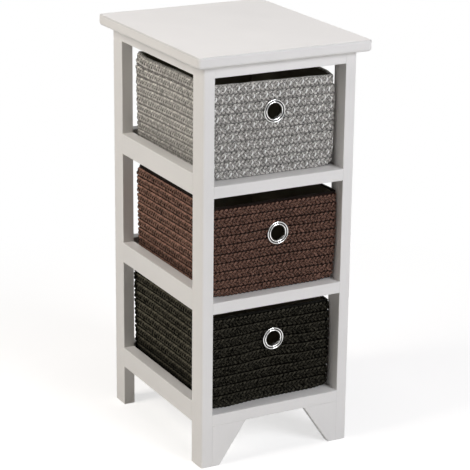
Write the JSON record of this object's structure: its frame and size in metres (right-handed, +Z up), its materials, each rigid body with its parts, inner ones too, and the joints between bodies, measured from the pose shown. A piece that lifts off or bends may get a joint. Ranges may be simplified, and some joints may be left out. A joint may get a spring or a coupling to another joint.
{
  "type": "bathroom cabinet",
  "caption": "Narrow free-standing white wooden cabinet with an overhanging top, open sides and stacked woven pull-out baskets with metal finger eyelets.",
  "frame": {"origin": "on the floor, under the middle of the cabinet's bounding box", "axes": "+Z up, +Y towards the back, +X to the right seen from the front"},
  "size_m": [0.26, 0.31, 0.58],
  "materials": {
    "white_paint": "satin white paint on wood",
    "bare_wood": "bare beech",
    "zinc_steel": "zinc plated",
    "grey_braid": "three-strand braid, one pale strand",
    "brown_braid": "three-strand braid",
    "black_braid": "three-strand braid",
    "grey_tape": "woven tape",
    "brown_tape": "woven tape",
    "black_tape": "woven tape",
    "black_lining": "non-woven cloth",
    "base_card": "grey board",
    "chrome": "polished"
  },
  "bodies": {
    "cabinet": {"top_board": "white_paint", "front_left_post": "white_paint", "front_right_post": "white_paint", "back_left_post": "white_paint", "back_right_post": "white_paint", "left_top_rail": "white_paint", "left_upper_rail": "white_paint", "left_middle_rail": "white_paint", "left_lower_rail": "white_paint", "right_top_rail": "white_paint", "right_upper_rail": "white_paint", "right_middle_rail": "white_paint", "right_lower_rail": "white_paint", "back_top_rail": "white_paint", "back_upper_rail": "white_paint", "back_middle_rail": "white_paint", "back_lower_rail": "white_paint", "front_top_rail": "white_paint", "lower_shelf": "white_paint", "middle_shelf": "white_paint", "upper_shelf": "white_paint", "left_foot_bracket": "white_paint", "right_foot_bracket": "white_paint", "side_rail_dowels": "bare_wood", "cross_rail_dowels": "bare_wood", "bracket_dowels": "bare_wood", "cam_bolts": "zinc_steel", "cam_locks": "zinc_steel", "top_screws": "zinc_steel"},
    "lower_basket": {"lower_basket_weave": "black_braid", "lower_basket_base": "base_card", "lower_basket_lining": "black_lining", "lower_basket_binding": "black_tape", "lower_basket_eyelet": "chrome", "lower_basket_washer": "chrome"},
    "middle_basket": {"middle_basket_weave": "brown_braid", "middle_basket_base": "base_card", "middle_basket_lining": "black_lining", "middle_basket_binding": "brown_tape", "middle_basket_eyelet": "chrome", "middle_basket_washer": "chrome"},
    "upper_basket": {"upper_basket_weave": "grey_braid", "upper_basket_base": "base_card", "upper_basket_lining": "black_lining", "upper_basket_binding": "grey_tape", "upper_basket_eyelet": "chrome", "upper_basket_washer": "chrome"}
  },
  "joints": [
    {"name": "lower_basket_slide", "type": "slide", "parent": "cabinet", "child": "lower_basket", "axis": [0, -1, 0], "range_m": [-0.0025, 0.263]},
    {"name": "middle_basket_slide", "type": "slide", "parent": "cabinet", "child": "middle_basket", "axis": [0, -1, 0], "range_m": [-0.014, 0.252]},
    {"name": "upper_basket_slide", "type": "slide", "parent": "cabinet", "child": "upper_basket", "axis": [0, -1, 0], "range_m": [-0.0095, 0.256]}
  ]
}
